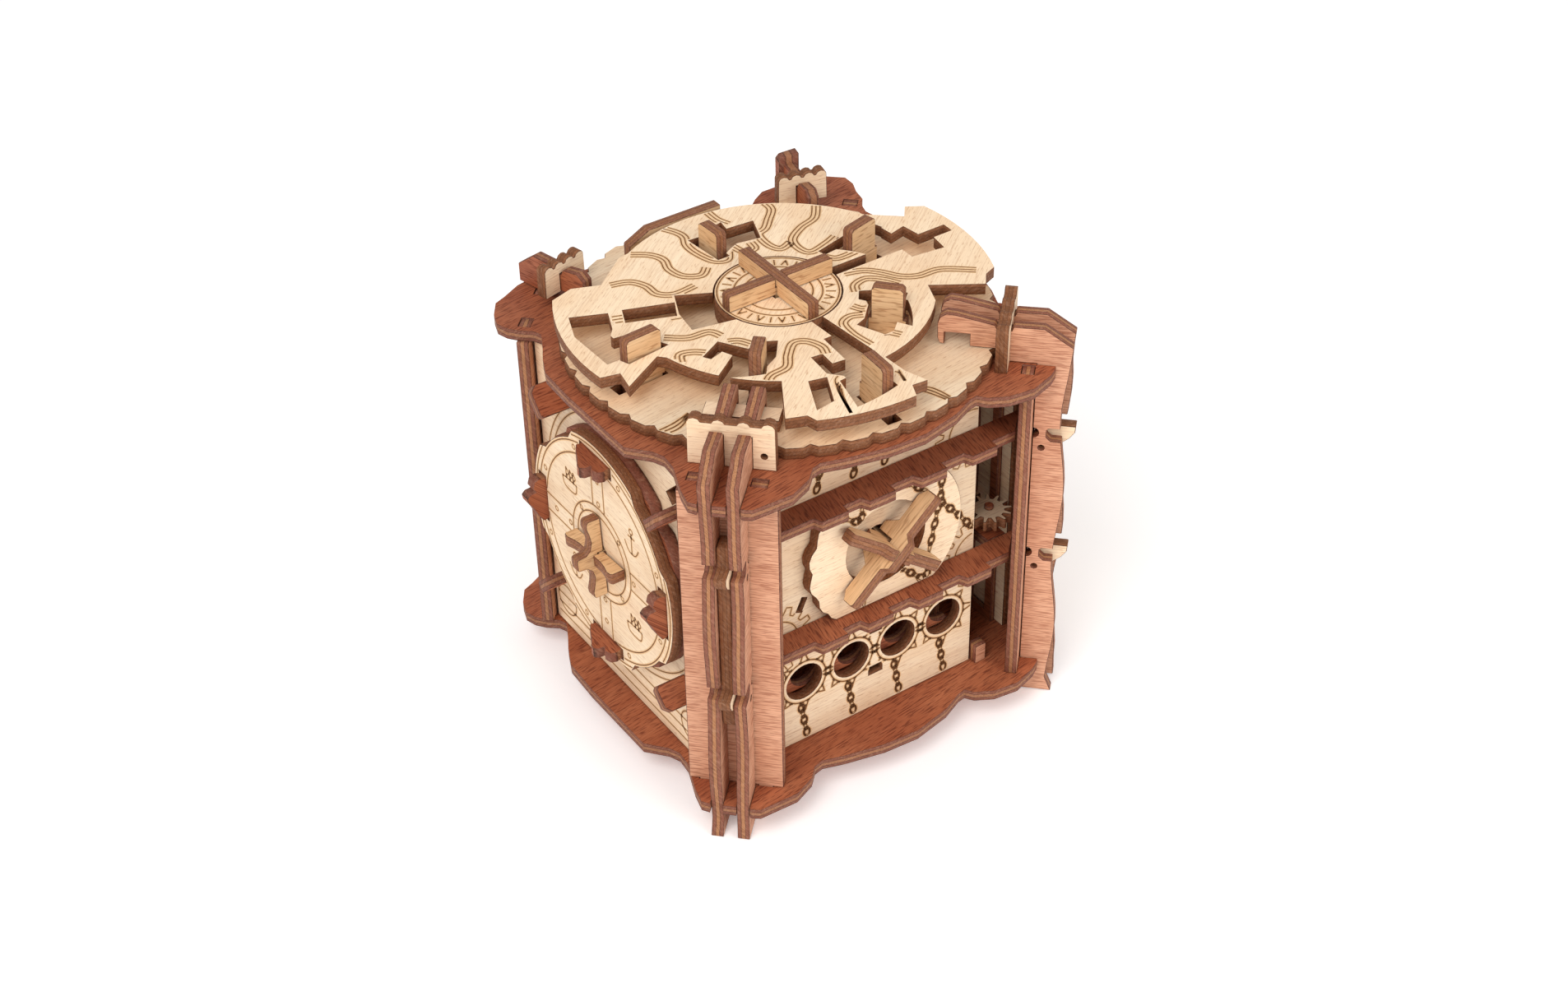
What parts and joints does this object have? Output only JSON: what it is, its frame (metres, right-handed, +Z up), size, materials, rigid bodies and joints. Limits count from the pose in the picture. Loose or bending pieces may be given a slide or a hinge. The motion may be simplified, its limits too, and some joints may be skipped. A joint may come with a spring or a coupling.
{
  "type": "wooden puzzle box",
  "caption": "Laser-cut ply puzzle box on finned feet, with a maze disc and dial on top, a compass wheel, a crossed front knob, portholes and a hidden drawer.",
  "frame": {"origin": "centre of the footprint, on the plane the feet stand on", "axes": "+Z up; -Y faces the porthole side with the crossed knob; -X faces the compass wheel; +Y faces the drawer"},
  "size_m": [0.1564, 0.15, 0.158],
  "materials": {
    "mahogany_ply": "matte",
    "rose_ply": "matte",
    "birch_ply": "matte",
    "tan_ply": "matte"
  },
  "bodies": {
    "box": {"floor_plate": "mahogany_ply", "top_plate": "mahogany_ply", "bay_slats": "mahogany_ply", "rear_skid": "mahogany_ply", "lug_left": "mahogany_ply", "lug_back": "mahogany_ply", "upper_shelf": "mahogany_ply", "lower_shelf": "mahogany_ply", "rim_catch_upper": "mahogany_ply", "rim_catch_lower": "mahogany_ply", "rim_catch_rear": "mahogany_ply", "fin_near_a": "rose_ply", "fin_near_b": "rose_ply", "fin_right_a": "rose_ply", "fin_right_b": "rose_ply", "corner_board_near": "rose_ply", "corner_board_right": "rose_ply", "corner_board_back": "rose_ply", "corner_board_left": "rose_ply", "lug_clip_left": "birch_ply", "lug_clip_back": "birch_ply", "crown_clip_near": "birch_ply", "crown_clip_right": "birch_ply", "nose_frame_near": "birch_ply", "front_panel": "birch_ply", "left_panel": "birch_ply", "right_panel": "birch_ply", "back_panel": "birch_ply", "front_shield": "birch_ply", "scallop_disc": "birch_ply"},
    "maze": {"maze_disc": "birch_ply"},
    "dial": {"centre_dial": "birch_ply", "dial_bar_long": "tan_ply", "dial_bar_cross": "tan_ply", "dial_spindle": "tan_ply", "dial_gear": "birch_ply"},
    "bay_train": {"bay_shaft": "tan_ply", "bay_gear_upper": "birch_ply", "bay_gear_lower": "birch_ply"},
    "compass": {"compass_rim": "mahogany_ply", "compass_dial": "birch_ply", "compass_bar_a": "tan_ply", "compass_bar_b": "tan_ply"},
    "knob": {"knob_bar_a": "tan_ply", "knob_bar_b": "tan_ply"},
    "latch_near": {"latch_near": "birch_ply"},
    "latch_right": {"latch_right": "birch_ply"},
    "rack": {"rack_slider": "mahogany_ply"},
    "shutter": {"shutter": "mahogany_ply"},
    "drawer": {"drawer_front": "mahogany_ply", "drawer_floor": "birch_ply", "drawer_side_left": "birch_ply", "drawer_side_right": "birch_ply", "drawer_back": "birch_ply"},
    "peg_1": {"peg_1": "tan_ply"},
    "peg_2": {"peg_2": "tan_ply"},
    "peg_3": {"peg_3": "tan_ply"},
    "peg_4": {"peg_4": "tan_ply"},
    "peg_5": {"peg_5": "tan_ply"},
    "peg_6": {"peg_6": "tan_ply"}
  },
  "joints": [
    {"name": "maze_turn", "type": "hinge", "parent": "box", "child": "maze", "pos_m": [0.00425, 0, 0.149], "axis": [0, 0, 1], "range_deg": [0, 8]},
    {"name": "peg_1_slide", "type": "slide", "parent": "box", "child": "peg_1", "axis": [-0.9976, -0.0698, 0], "range_m": [0, 0.0024]},
    {"name": "peg_2_slide", "type": "slide", "parent": "box", "child": "peg_2", "axis": [-0.0523, 0.9986, 0], "range_m": [0, 0.0024]},
    {"name": "peg_3_slide", "type": "slide", "parent": "box", "child": "peg_3", "axis": [0.9703, 0.2419, 0], "range_m": [0, 0.0024]},
    {"name": "peg_4_slide", "type": "slide", "parent": "box", "child": "peg_4", "axis": [0.6691, -0.7431, 0], "range_m": [0, 0.0024]},
    {"name": "peg_5_slide", "type": "slide", "parent": "box", "child": "peg_5", "axis": [-0.0523, -0.9986, 0], "range_m": [0, 0.0024]},
    {"name": "peg_6_slide", "type": "slide", "parent": "box", "child": "peg_6", "axis": [-0.682, -0.7314, 0], "range_m": [0, 0.0024]},
    {"name": "dial_turn", "type": "hinge", "parent": "box", "child": "dial", "pos_m": [0.00425, 0, 0.149], "axis": [0, 0, 1], "continuous": true},
    {"name": "bay_turn", "type": "hinge", "parent": "box", "child": "bay_train", "pos_m": [0.04425, -0.03323, 0.074], "axis": [0, 0, 1], "continuous": true},
    {"name": "compass_turn", "type": "hinge", "parent": "box", "child": "compass", "pos_m": [-0.065, -0.0031, 0.0793], "axis": [1, 0, 0], "continuous": true},
    {"name": "knob_turn", "type": "hinge", "parent": "box", "child": "knob", "pos_m": [0.00355, -0.06, 0.087], "axis": [0, 1, 0], "continuous": true},
    {"name": "latch_near_slide", "type": "slide", "parent": "box", "child": "latch_near", "axis": [0, 0, 1], "range_m": [0, 0.003]},
    {"name": "latch_right_slide", "type": "slide", "parent": "box", "child": "latch_right", "axis": [0, 0, 1], "range_m": [0, 0.003]},
    {"name": "rack_slide", "type": "slide", "parent": "box", "child": "rack", "axis": [0, 0.7071, -0.7071], "range_m": [0, 0.003]},
    {"name": "shutter_slide", "type": "slide", "parent": "box", "child": "shutter", "axis": [-1, 0, 0], "range_m": [0, 0.0034]},
    {"name": "drawer_slide", "type": "slide", "parent": "box", "child": "drawer", "axis": [0, 1, 0], "range_m": [0, 0.055]}
  ],
  "couplings": [
    {"joint": "peg_1_slide", "follows": "maze_turn", "m_per_rad": 0.017189},
    {"joint": "peg_2_slide", "follows": "maze_turn", "m_per_rad": 0.017189},
    {"joint": "peg_3_slide", "follows": "maze_turn", "m_per_rad": 0.017189},
    {"joint": "peg_4_slide", "follows": "maze_turn", "m_per_rad": 0.017189},
    {"joint": "peg_5_slide", "follows": "maze_turn", "m_per_rad": 0.017189},
    {"joint": "peg_6_slide", "follows": "maze_turn", "m_per_rad": 0.017189},
    {"joint": "bay_turn", "follows": "dial_turn", "ratio": -3.3333}
  ]
}
